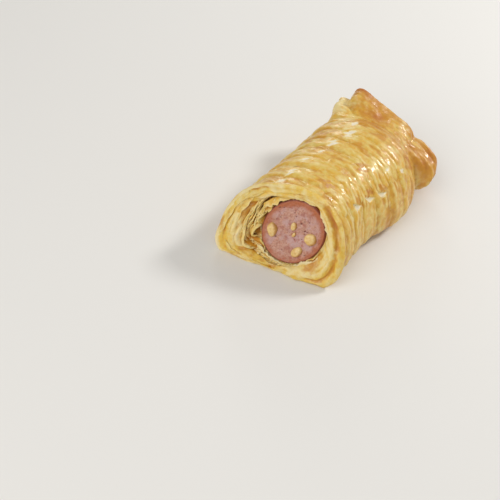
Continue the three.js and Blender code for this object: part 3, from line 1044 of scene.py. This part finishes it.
# %% Shape the folds
def fold_shape(sizes):
    """A fold that closes the roll's far end, from a pole inside to a pole in its back."""
    seed = sizes["seed"]

    def shape(u, v):
        degrees = 270 - 360 * u
        angle = np.radians(degrees)
        around = circling(angle)
        inside = stretch(v, 0, FRONT_SHARE)
        along = stretch(v, FRONT_SHARE, 1 - FRONT_SHARE - REAR_SHARE)
        rear = stretch(v, 1 - REAR_SHARE, REAR_SHARE)
        y = sizes["back"] - FOLD_DEPTH * (1 - along)
        ear = np.exp(-np.abs((degrees - sizes["ear_angle"]) / EAR_SPREAD) ** 1.6)
        ear = ear * smoothstep(along, 0, 0.75)
        knob = bell(degrees, KNOB_ANGLE, KNOB_SPREAD) * smoothstep(along, 0.4, 0.7)
        closing = np.maximum(0, 1 - FOLD_DEPTH * (1 - along) / FOLD_ROUNDING)
        rounding = FOLD_ROUNDING * (1 - np.sqrt(1 - closing ** 2))
        sunk = FOLD_SUNK * (1 - smoothstep(along, 0, 0.3))
        crease = knob_crease(degrees, END_Y - y)
        notch = NOTCH * bell(degrees, NOTCH_ANGLE, NOTCH_SPREAD) * smoothstep(along, 0.5, 0.9)
        wrinkle = 0.3 * ripple(seed, *around, y / 1.5) * smoothstep(along, 0.1, 0.5)
        height = FOLD_FLARE + sizes["ear"] * ear + sizes["knob"] * knob + wrinkle
        height = height - rounding - sunk - crease - notch
        y = y + 0.4 * ripple(seed + 1, *around) * along * (1 - smoothstep(rear, 0.1, 0.8))

        x, y, z = on_roll(y, angle, height)
        shrink = np.where(rear > 0, np.cos(rear * np.pi / 2), np.sin(inside * np.pi / 2))
        x = drawn_in(x, FOLD_MIDDLE_X, shrink)
        z = drawn_in(z, FOLD_MIDDLE_Z, shrink)
        seam_z = FOLD_MIDDLE_Z + 1.2 * ripple(seed + 2, x / 7)
        on_back = smoothstep(rear, 0.05, 0.4)
        seam = bell(z, seam_z, SEAM_WIDTH) - 0.5 * smoothstep(z, seam_z - 0.4, seam_z + 0.9)
        pleats = 0.4 * ripple(seed + 3, x / 3, z / 4)
        y = y - on_back * (1.6 * smoothstep(rear, 0, 1) + 1.1 * seam + pleats)

        lip = smoothstep(along, 0.6, 0.95) * (1 - 0.6 * smoothstep(rear, 0.15, 0.5))
        edge = smoothstep(along, 0.93, 1) * (1 - smoothstep(rear, 0, 0.12))
        tip = bell(degrees, sizes["ear_angle"], EAR_TIP_SPREAD)
        bare = bell(degrees, PALE_ANGLE, PALE_SPREAD) * smoothstep(along, 0.3, 0.5) * (1 - 0.7 * lip)
        bare = bare + (1 - sizes["tip"]) * 0.5 * tip * lip
        # Painted shade darkens the creases; the thin edges' pale is partly a painted highlight.
        toast_and_shade = 0.2 + lip * (0.22 + sizes["tip"] * tip + 0.3 * knob) + 0.3 * crease - 0.5 * bare
        toast_and_shade = toast_and_shade + 0.75 * browned_at(degrees, END_Y - y, BROWN_BAND)
        toast_and_shade = toast_and_shade + 0.4 * browned_at(degrees, END_Y - y, BROWN_HINGE)
        toast_and_shade = toast_and_shade + 0.3 * on_back * bell(z, seam_z, 2 * SEAM_WIDTH)
        pale = 0.12 + 0.65 * bare + (0.15 * lip + 0.3 * edge) * (1 - tip) * (1 - knob)
        grain = (np.where(rear > 0, x, 22 * angle), np.where(rear > 0, z, y), seed)
        return (x, y, np.maximum(z, 0)), (toast_and_shade, pale, 0.15), grain

    return shape


folds = []
for name, sizes in FOLDS.items():
    fold = laid_sheet(name, FOLD_STEPS, fold_shape(sizes))
    close_up(fold)
    crinkle(fold, FOLD_CRINKLES)
    folds.append(fold)
print("folds:", [fold.name for fold in folds])

# %% [markdown]
# ## The sausage
# The cut sausage is a smooth, moist, finely minced meat with a darker cooked skin. Its cut face
# is nearly flat with small pits, and dips where lumps of cheese sit. A cylinder has no points on its
# face to make pits with, so it is one laid sheet again: from the middle of the face outwards, round
# the edge and along the skin to its rounded end.

# %% Sizes and pits of the sausage
SAUSAGE_STEPS = (240, 150)
SAUSAGE_FACE_SHARE = 0.6
SAUSAGE_END_SHARE = 0.12
SAUSAGE_END_ROUND = 6
EDGE_ROUNDING = 0.5
CHEESE_DIP = 0.35
PIT_COUNT = 90
PITS_WITHIN = 11
PIT_SIZES = (0.14, 0.18, 0.45)
CHEESE = {
    "cheese_1": {"right": -8, "up": -1.7, "width": 4.3, "height": 5.8, "turn": 20},
    "cheese_2": {"right": -0.5, "up": 2.2, "width": 2.3, "height": 3.3, "turn": 10},
    "cheese_3": {"right": 7.3, "up": -0.4, "width": 5.2, "height": 4.4, "turn": -25},
    "cheese_4": {"right": 4.1, "up": -6.7, "width": 3.6, "height": 4.7, "turn": -35},
    "cheese_5": {"right": 0.7, "up": -0.8, "width": 1.5, "height": 1.8, "turn": 0},
}


def face_pits(right, up):
    """The depth of the small pits at a place on the cut face."""
    draws = np.random.default_rng(63)
    pits = 0
    for _ in range(PIT_COUNT):
        turn = draws.uniform(0, 2 * np.pi)
        reach = PITS_WITHIN * np.sqrt(draws.uniform(0, 1))
        size = draws.triangular(*PIT_SIZES)
        away = np.hypot(right - reach * np.cos(turn), up - reach * np.sin(turn))
        pits = pits + size * bell(away, 0, size)
    return pits


print("pits in the cut face:", PIT_COUNT)

# %% Shape the sausage
def sausage_shape(u, v):
    """The sausage from the middle of its cut face to its rounded end."""
    angle = 2 * np.pi * u
    face = stretch(v, 0, SAUSAGE_FACE_SHARE)
    side = stretch(v, SAUSAGE_FACE_SHARE, 1 - SAUSAGE_FACE_SHARE - SAUSAGE_END_SHARE)
    end = stretch(v, 1 - SAUSAGE_END_SHARE, SAUSAGE_END_SHARE)
    radius = SAUSAGE_RADIUS * face * np.cos(end * np.pi / 2)
    right = radius * np.cos(angle)
    up = radius * np.sin(angle)
    dip = 0.12 * ripple(61, right / 2.5, up / 2.5) + 0.05 * ripple(62, right * 1.6, up * 1.6)
    for lump in CHEESE.values():
        away = np.hypot((right - lump["right"]) / lump["width"], (up - lump["up"]) / lump["height"])
        dip = dip + CHEESE_DIP * np.exp(-(away / 0.62) ** 4)
    pits = face_pits(right, up)
    x = SAUSAGE_X + right
    z = SAUSAGE_Z + up
    rounded = EDGE_ROUNDING * np.clip(1 - (SAUSAGE_RADIUS - radius) / EDGE_ROUNDING, 0, 1) ** 2
    y = cut_y(x, z) + SAUSAGE_SET_BACK
    y = y + np.where(side > 0, EDGE_ROUNDING, rounded + (dip + pits) * (face < 0.985))
    skin_end = SAUSAGE_END_Y - SAUSAGE_END_ROUND * (1 - np.sin(end * np.pi / 2))
    y = np.where(side > 0, y + (skin_end - y) * np.maximum(side, 0.002), y)
    warm = smoothstep(face, 0.64, 1) * (0.9 + 0.25 * np.sin(angle))
    skin = smoothstep(face, 0.92, 0.985)
    return (x, y, z), (warm, pits, skin)


sausage = laid_sheet("sausage_meat", SAUSAGE_STEPS, sausage_shape)
close_up(sausage)
print("sausage:", len(sausage.data.vertices), "points")

# %% [markdown]
# ## The cheese
# Lumps of cheese softened in the oven and stand a little proud of the cut meat. Each starts as a
# UV sphere, because a lump is round all over, is set into the face along the slant of the cut at its
# own size and turn, and gets uneven sides.

# %% Shape the cheese
CHEESE_STEPS = (48, 28)
CHEESE_DOME = 0.15
CHEESE_DOME_SHARE = 0.09


def cheese_lump(name, sizes, seed):
    """A lump of cheese, flattened on the cut and uneven round its sides."""
    bpy.ops.object.select_all(action="DESELECT")
    bpy.ops.mesh.primitive_uv_sphere_add(segments=CHEESE_STEPS[0], ring_count=CHEESE_STEPS[1], radius=1)
    piece = bpy.context.object
    piece.name = name
    side, rise, out = points_of(piece).T
    around = np.arctan2(rise, side)
    uneven = 0.95 + 0.09 * ripple(seed, np.cos(around), np.sin(around))
    uneven = uneven + 0.04 * ripple(seed + 5, *circling(around))
    turn = math.radians(sizes["turn"])
    wide = side * uneven * sizes["width"] / 2
    tall = rise * uneven * sizes["height"] / 2
    x = SAUSAGE_X + sizes["right"] + wide * math.cos(turn) - tall * math.sin(turn)
    z = SAUSAGE_Z + sizes["up"] + wide * math.sin(turn) + tall * math.cos(turn)
    dome = CHEESE_DOME + CHEESE_DOME_SHARE * (sizes["width"] + sizes["height"])
    proud = np.where(out > 0, dome * np.abs(out) ** 0.8, out * sizes["width"] / 2)
    proud = proud + 0.12 * ripple(seed + 1, wide * 2, tall * 2)
    y = cut_y(x, z) + SAUSAGE_SET_BACK - proud
    set_points(piece, (x, y, z), (np.hypot(side, rise), side, rise))
    close_up(piece)
    return piece


cheese = {}
for number, (node, sizes) in enumerate(CHEESE.items()):
    cheese[node] = cheese_lump(node + "_lump", sizes, 80 + number)
print("cheese lumps:", len(cheese))

# %% [markdown]
# ## Shader maths
# A finish is a node tree. One small class wraps a socket so that masks can be written as Python
# sums, and one method adds any other node: its settings first, then its sockets.

# %% The socket class
class Tone:
    """A socket of a finish, on which Python's operators add Math nodes."""

    def __init__(self, tree, socket):
        self.tree = tree
        self.socket = socket

    def node(self, kind, settings, sockets, output=0):
        """Adds a node, sets it up, feeds its sockets and gives one of its outputs."""
        added = self.tree.nodes.new(kind)
        for setting, value in settings.items():
            setattr(added, setting, value)
        for name, value in sockets.items():
            if isinstance(value, Tone):
                self.tree.links.new(value.socket, added.inputs[name])
            else:
                added.inputs[name].default_value = value
        return Tone(self.tree, added.outputs[output])

    def math(self, operation, first, second):
        """Adds a Math node for two numbers or tones."""
        return self.node("ShaderNodeMath", {"operation": operation}, {0: first, 1: second})

    def __add__(self, other):
        return self.math("ADD", self, other)

    def __sub__(self, other):
        return self.math("SUBTRACT", self, other)

    def __rsub__(self, other):
        return self.math("SUBTRACT", other, self)

    def __mul__(self, other):
        return self.math("MULTIPLY", self, other)

    __radd__ = __add__
    __rmul__ = __mul__

    def between(self, low, high):
        """0 below low, 1 above high and smooth in between."""
        sockets = {"Value": self, "From Min": low, "From Max": high}
        return self.node("ShaderNodeMapRange", {"interpolation_type": "SMOOTHSTEP"}, sockets)

    def noise(self, size, detail=3, roughness=0.55):
        """Noise on this vector, with patches of about the size given in its own units."""
        sockets = {"Vector": self, "Scale": 1 / size, "Detail": detail, "Roughness": roughness}
        return self.node("ShaderNodeTexNoise", {}, sockets)

    def stretched(self, factors):
        """This vector with each axis scaled."""
        return self.node("ShaderNodeVectorMath", {"operation": "MULTIPLY"}, {0: self, 1: factors})

    def attribute(self, name, output):
        """An attribute of the piece that wears the finish."""
        return self.node("ShaderNodeAttribute", {"attribute_name": name}, {}, output)

    def parts(self):
        """The three numbers of a colour."""
        return [self.node("ShaderNodeSeparateColor", {}, {"Color": self}, part) for part in range(3)]

    def mix(self, first, second):
        """Goes from the first colour to the second as this value goes from 0 to 1."""
        return self.node("ShaderNodeMix", {"data_type": "RGBA"}, {0: self, 6: first, 7: second}, 2)


print("a tone can be added, multiplied and mixed")

# %% [markdown]
# ## Parts that finishes share
# Every finish here starts from a new material's main shader. Food lets light in, so each also soaks
# up some light below its skin, and a Bump node adds the grain that is too fine for the mesh.

# %% Helpers for finishes
def shade(red, green, blue):
    """A colour as a picture shows it, 0 to 255, in the linear numbers that shaders take."""
    linear = [((part / 255 + 0.055) / 1.055) ** 2.4 for part in (red, green, blue)]
    return (*linear, 1)


def new_finish(name):
    """A new material: gives it, its main shader and its object coordinates."""
    material = bpy.data.materials.new(name)
    material.use_nodes = True
    tree = material.node_tree
    shader = tree.nodes["Principled BSDF"]
    coordinates = tree.nodes.new("ShaderNodeTexCoord")
    return material, shader, Tone(tree, coordinates.outputs["Object"])


def feed(shader, tone, socket):
    """Links a tone to one of the shader's sockets."""
    tone.tree.links.new(tone.socket, shader.inputs[socket])


def fine_relief(shader, height, strength, distance):
    """Roughens a finish by a height, with a distance in millimetres."""
    sockets = {"Height": height, "Strength": strength, "Distance": distance * MM}
    feed(shader, height.node("ShaderNodeBump", {}, sockets), "Normal")


def soak_light(shader, share, distances):
    """Lets a share of the light into a finish, red, green and blue over millimetres."""
    shader.inputs["Subsurface Weight"].default_value = share
    shader.inputs["Subsurface Radius"].default_value = [distance * MM for distance in distances]
    shader.inputs["Subsurface Scale"].default_value = 1


print("finishes can be fed, roughened and softened")

# %% [markdown]
# ## The crust
# Egg-washed puff pastry is golden where the wash browned, deeper in the creases, where that is
# painted shade, cream where the layers' edges stayed bare, white where it flaked and toasted on the
# parts that stand up. The bake attribute also brings painted shade from hollows and painted
# highlights on some edges and ridges. It could be painted by hand, but the bake attribute already
# says where, and noise at several sizes breaks every border. Fine streaks follow each strip through
# its grain, and the dough inside is crumbly. The wash dries to a broken gloss, so the crust has a
# thin coat where it isn't pale or doughy.

# %% The crust's finish
GOLD = shade(222, 190, 98)
MID_GOLD = shade(223, 167, 56)
DEEP_GOLD = shade(207, 146, 42)
CREAM = shade(240, 217, 152)
FLAKE_WHITE = shade(243, 229, 200)
DOUGH_YELLOW = shade(240, 205, 78)
TOAST = shade(188, 112, 34)
ROSE_TOAST = shade(208, 144, 92)

crust, shader, place = new_finish("crust")
toast_and_shade, pale, doughy = place.attribute("bake", "Color").parts()
grain = place.attribute("grain", "Vector")
broad = place.noise(7 * MM)
blotches = place.noise(3 * MM, detail=4)
dapples = place.noise(2.1 * MM)
blisters = place.noise(1.4 * MM, detail=2)
fine = place.noise(0.6 * MM)
crumbly = place.noise(0.9 * MM, detail=4, roughness=0.7)
bands = grain.stretched((1 / 14, 1 / 2.4, 1)).noise(1)
streaks = grain.stretched((1 / 9, 1 / 0.5, 1)).noise(1, detail=4, roughness=0.65)
shreds = grain.stretched((1 / 5, 1 / 2, 1)).noise(1)

lightness = (0.45 * bands + 0.08 * streaks + 0.47 * dapples).between(0.41, 0.58)
uneven = 0.9 * (blotches - 0.5) + 0.5 * (bands - 0.5) + 1.1 * (broad - 0.5)
mottled = 0.12 * (streaks - 0.5) + 1.2 * (shreds - 0.5) + 0.8 * (dapples - 0.5) - 0.6 * (broad - 0.5)
mottled = mottled + 0.9 * doughy * (crumbly - 0.5)
pale_here = (pale + mottled).between(0.08, 0.95)
# deep_here and toast_here also carry the painted shade held in the bake's first number, and pale_here the
# painted highlights.
deep_here = (toast_and_shade + uneven).between(0.05, 0.5)
toast_here = (toast_and_shade + uneven).between(0.45, 1.1)
white_here = (pale + 0.6 * (streaks - 0.5)).between(0.9, 1.5)
rosy_here = (0 - doughy).between(0, 0.5) * (blisters + 0.5 * (fine - 0.5)).between(0.38, 0.6)
freckles = 0.4 * blisters.between(0.58, 0.75) * broad.between(0.45, 0.6) + 0.8 * rosy_here
colour = lightness.mix(MID_GOLD, GOLD)
colour = (0.7 * doughy).mix(colour, DOUGH_YELLOW)
colour = deep_here.mix(colour, DEEP_GOLD)
colour = pale_here.mix(colour, CREAM)
colour = freckles.mix(colour, ROSE_TOAST)
colour = toast_here.mix(colour, TOAST)
colour = white_here.mix(colour, FLAKE_WHITE)
feed(shader, colour, "Base Color")
feed(shader, 0.38 + 0.25 * pale_here + 0.3 * (fine - 0.5), "Roughness")
fine_relief(shader, 0.3 * fine + 0.2 * streaks + 0.7 * blisters + 1.4 * doughy * crumbly, 0.5, 0.45)
gloss = 0.12 + 0.32 * fine.between(0.36, 0.56)
feed(shader, gloss * (1 - 0.65 * pale_here) * (1 - 0.8 * doughy), "Coat Weight")
shader.inputs["Coat Roughness"].default_value = 0.06
soak_light(shader, 0.1, (1.2, 0.8, 0.35))
print("crust finish:", len(crust.node_tree.nodes), "nodes")

# %% [markdown]
# ## The sausage's finish
# Minced meat is a mauve pink with paler flecks of fat, warmer near the reddish brown skin. Soft
# lilac patches are a painted sheen, and the pits are darkened by their depth as painted shade. One
# noise would look like marble, so each kind of fleck has a noise of its own size. The numbers of its
# bake attribute are how warm the meat is, how deep a pit is and where the skin is.

# %% The meat
MEAT = shade(183, 126, 104)
MEAT_PALE = shade(209, 162, 140)
MEAT_PAINTED_SHEEN = shade(199, 158, 152)
MEAT_RED = shade(163, 92, 76)
MEAT_WARM = shade(178, 98, 54)
MEAT_SKIN = shade(130, 60, 34)
MEAT_PIT_SHADE = shade(132, 74, 58)

meat, shader, place = new_finish("sausage_meat")
warm, pit_shade, skin = place.attribute("bake", "Color").parts()
broad = place.noise(4 * MM)
clumps = place.noise(2.2 * MM, detail=4)
mince = place.noise(0.7 * MM, detail=4)
fine = place.noise(0.3 * MM, detail=2)
browned = warm + 0.5 * (broad - 0.5) + 0.9 * (clumps - 0.5)
colour = (0.6 * mince + 0.4 * fine).between(0.38, 0.66).mix(MEAT, MEAT_PALE)
# Painted sheen: soft lilac patches placed by broad noise.
colour = (0.85 * broad.between(0.44, 0.64)).mix(colour, MEAT_PAINTED_SHEEN)
colour = (0.65 * clumps.between(0.5, 0.68)).mix(colour, MEAT_RED)
colour = (0.95 * browned.between(0.05, 0.9)).mix(colour, MEAT_WARM)
# Painted shade: the pits are darker the deeper they are.
colour = pit_shade.between(0.1, 0.32).mix(colour, MEAT_PIT_SHADE)
colour = (skin + 0.3 * (mince - 0.5)).between(0.2, 0.9).mix(colour, MEAT_SKIN)
feed(shader, colour, "Base Color")
feed(shader, 0.3 + 0.3 * (mince - 0.5), "Roughness")
fine_relief(shader, mince + 0.5 * fine + 0.8 * clumps, 0.6, 0.3)
soak_light(shader, 0.12, (1.5, 0.5, 0.35))
print("meat finish:", len(meat.node_tree.nodes), "nodes")

# %% [markdown]
# ## The cheese's finish
# Pale yellow, waxy and a little translucent, with a browner edge where it meets the meat. Its bake
# attribute holds how far out a point lies and on which side, so one side of the edge is darker, which
# is painted shade.

# %% The cheese's colours
CHEESE_PALE = shade(235, 203, 138)
CHEESE_DEEP = shade(219, 175, 96)
CHEESE_EDGE_AND_SHADE = shade(184, 130, 62)

curd, shader, place = new_finish("cheese")
reach, side, _ = place.attribute("bake", "Color").parts()
lumps = place.noise(1.3 * MM)
# Painted shade: the edge is darker on one side of each lump.
edge = (reach + 0.6 * side + 0.4 * (lumps - 0.5)).between(0.6, 1.4)
colour = lumps.between(0.35, 0.7).mix(CHEESE_PALE, CHEESE_DEEP)
colour = edge.mix(colour, CHEESE_EDGE_AND_SHADE)
feed(shader, colour, "Base Color")
feed(shader, 0.33 + 0.25 * (lumps - 0.5), "Roughness")
fine_relief(shader, lumps, 0.3, 0.3)
soak_light(shader, 0.15, (1.2, 0.9, 0.35))
print("cheese finish:", len(curd.node_tree.nodes), "nodes")

# %% [markdown]
# ## Dressing the frame
# Every piece gets its finish, smooth shading that keeps the leaves' edges sharp, and its place
# in the frame: it rides on the one body and stands for the solid that it replaces.

# %% Dress the pieces
SHARP_FROM = math.radians(55)


def dress(piece, node, finish):
    """Gives a piece its finish and lets it stand for a solid of the frame."""
    piece.data.materials.clear()
    piece.data.materials.append(finish)
    bpy.ops.object.select_all(action="DESELECT")
    piece.select_set(True)
    bpy.context.view_layer.objects.active = piece
    bpy.ops.object.shade_smooth_by_angle(angle=SHARP_FROM)
    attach(piece, "root")
    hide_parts(node)
    print(piece.name, "stands for", node)


for piece in (dough_body, right_strips, left_strips, rim, torn_leaves, crumbs, *folds):
    dress(piece, "pastry", crust)
dress(sausage, "sausage", meat)
for node, piece in cheese.items():
    dress(piece, node, curd)

# %% [markdown]
# ## Floor, light and camera
# The pie lies on a plain pale floor. The highlights on the strips come from behind on the right,
# a weak light behind on the left draws glints along that shoulder, and a broad soft light in front
# keeps the cut face open. The camera looks at the cut from the front right, from above and a little
# tilted, so it is given by those angles and by the place of the sausage's middle in a picture of
# 500 by 500.

# %% The floor
FLOOR_SIZE = 3
FLOOR_TONE = shade(234, 231, 225)
FLOOR_ROUGHNESS = 0.7

bpy.ops.object.select_all(action="DESELECT")
bpy.ops.mesh.primitive_plane_add(size=FLOOR_SIZE)
floor = bpy.context.object
floor.name = "floor"
table_top, shader, _ = new_finish("floor")
shader.inputs["Base Color"].default_value = FLOOR_TONE
shader.inputs["Roughness"].default_value = FLOOR_ROUGHNESS
floor.data.materials.append(table_top)
floor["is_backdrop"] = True
print("floor in metres:", FLOOR_SIZE)

# %% The lights
LIGHTS = {
    "key": {"from": (0.4, 0.68, 0.62), "distance": 0.7, "size": 0.13, "power": 2.5},
    "fill": {"from": (-0.12, -0.74, 0.62), "distance": 0.8, "size": 0.7, "power": 3.6},
    "edge": {"from": (-0.58, 0.75, 0.32), "distance": 0.7, "size": 0.18, "power": 0.5},
}
SURROUND = 0.34

for name, sizes in LIGHTS.items():
    direction = Vector(sizes["from"])
    bpy.ops.object.light_add(type="AREA")
    lamp = bpy.context.object
    lamp.name = name
    lamp.data.size = sizes["size"]
    lamp.data.energy = sizes["power"]
    lamp.location = (cad_low + cad_high) / 2 + direction.normalized() * sizes["distance"]
    lamp.rotation_euler = direction.to_track_quat("Z", "Y").to_euler()
world = bpy.data.worlds.new("studio")
world.use_nodes = True
world.node_tree.nodes["Background"].inputs["Color"].default_value = (1, 1, 1, 1)
world.node_tree.nodes["Background"].inputs["Strength"].default_value = SURROUND
bpy.context.scene.world = world
bpy.context.scene.view_settings.view_transform = "Standard"
print("lights:", list(LIGHTS))

# %% The camera
AZIMUTH = math.radians(23.81)
ELEVATION = math.radians(41.8)
TILT = math.radians(11.49)
PICTURE = 500
FOCAL_PIXELS = 1178
CAMERA_DISTANCE = 460 * MM
SAUSAGE_PIXEL = (292.4, 232.9)
SENSOR = 36

back = Vector((
    math.cos(ELEVATION) * math.sin(AZIMUTH),
    -math.cos(ELEVATION) * math.cos(AZIMUTH),
    math.sin(ELEVATION),
))
level = Vector((math.cos(AZIMUTH), math.sin(AZIMUTH), 0))
right = math.cos(TILT) * level + math.sin(TILT) * back.cross(level)
up = back.cross(right)
aim = Vector(to_frame((SAUSAGE_X, CUT_Y, SAUSAGE_Z)))
ray = (
    right * (SAUSAGE_PIXEL[0] - PICTURE / 2)
    + up * (PICTURE / 2 - SAUSAGE_PIXEL[1])
    - back * FOCAL_PIXELS
) / FOCAL_PIXELS
bpy.ops.object.camera_add()
camera = bpy.context.object
turn = Matrix((right, up, back)).transposed()
camera.matrix_world = Matrix.Translation(aim - ray * CAMERA_DISTANCE) @ turn.to_4x4()
camera.data.sensor_width = SENSOR
camera.data.lens = SENSOR * FOCAL_PIXELS / PICTURE
bpy.context.scene.camera = camera
print("camera at", [round(part, 4) for part in camera.location])

# %% [markdown]
# ## Sizes at the end
# The dressed pie has to keep the solids' size, so both boxes are printed.

# %% Print the sizes
pie_low, pie_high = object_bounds()
sizes = {
    "cad": [list(cad_low), list(cad_high)],
    "visual": [list(pie_low), list(pie_high)],
}
for name, (low, high) in sizes.items():
    print(name, "box in mm:", [round((top - base) / MM, 1) for base, top in zip(low, high)])
